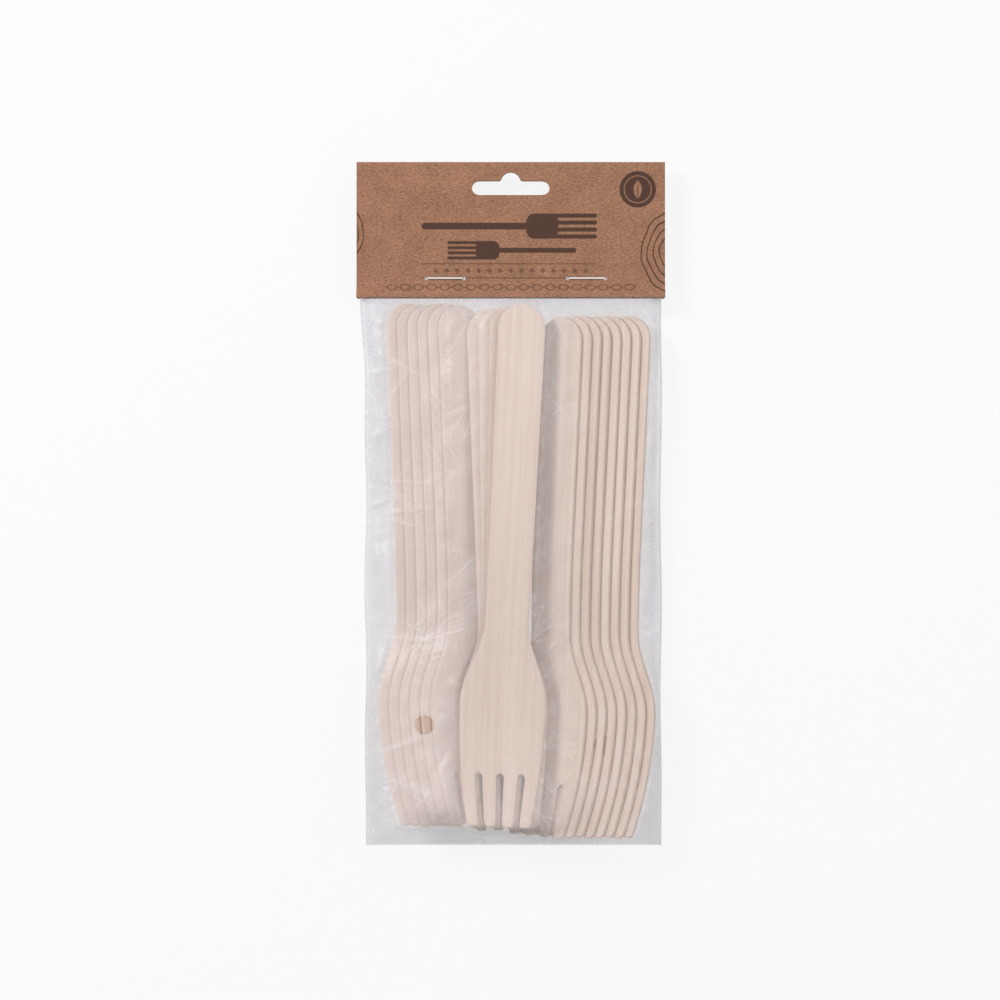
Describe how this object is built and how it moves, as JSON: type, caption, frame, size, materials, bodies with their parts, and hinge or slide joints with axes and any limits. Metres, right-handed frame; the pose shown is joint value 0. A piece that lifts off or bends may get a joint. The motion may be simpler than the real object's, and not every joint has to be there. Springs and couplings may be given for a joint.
{
  "type": "wooden cutlery pack",
  "caption": "Hanging pack of disposable birch wood forks in a hazy clear film bag, closed by a folded and stapled kraft header card with a hang slot.",
  "frame": {"origin": "middle of the bounding box, on the surface that the pack lies on", "axes": "+Y from the bottom fold to the header card, +Z out of the front of the pack, +X to the right seen from the front"},
  "size_m": [0.0982, 0.2176, 0.0264],
  "materials": {
    "birch_wood": "bare pressed birch veneer, matt, pale pinkish beige with fine lengthwise grain",
    "kraft_card": "uncoated brown kraft card, matt, with plain dark brown print",
    "clear_film": "thin hazy clear polypropylene film, glossy and creased",
    "bright_wire": "bright galvanised staple wire"
  },
  "bodies": {
    "root": {"header_card": "kraft_card", "film_bag": "clear_film", "staple_left": "bright_wire", "staple_right": "bright_wire", "fork_01": "birch_wood", "fork_02": "birch_wood", "fork_03": "birch_wood", "fork_04": "birch_wood", "fork_05": "birch_wood", "fork_06": "birch_wood", "fork_07": "birch_wood", "fork_08": "birch_wood", "fork_09": "birch_wood", "fork_10": "birch_wood", "fork_11": "birch_wood", "fork_12": "birch_wood", "fork_13": "birch_wood", "fork_14": "birch_wood", "fork_15": "birch_wood", "fork_16": "birch_wood", "fork_17": "birch_wood", "fork_18": "birch_wood"}
  },
  "joints": []
}
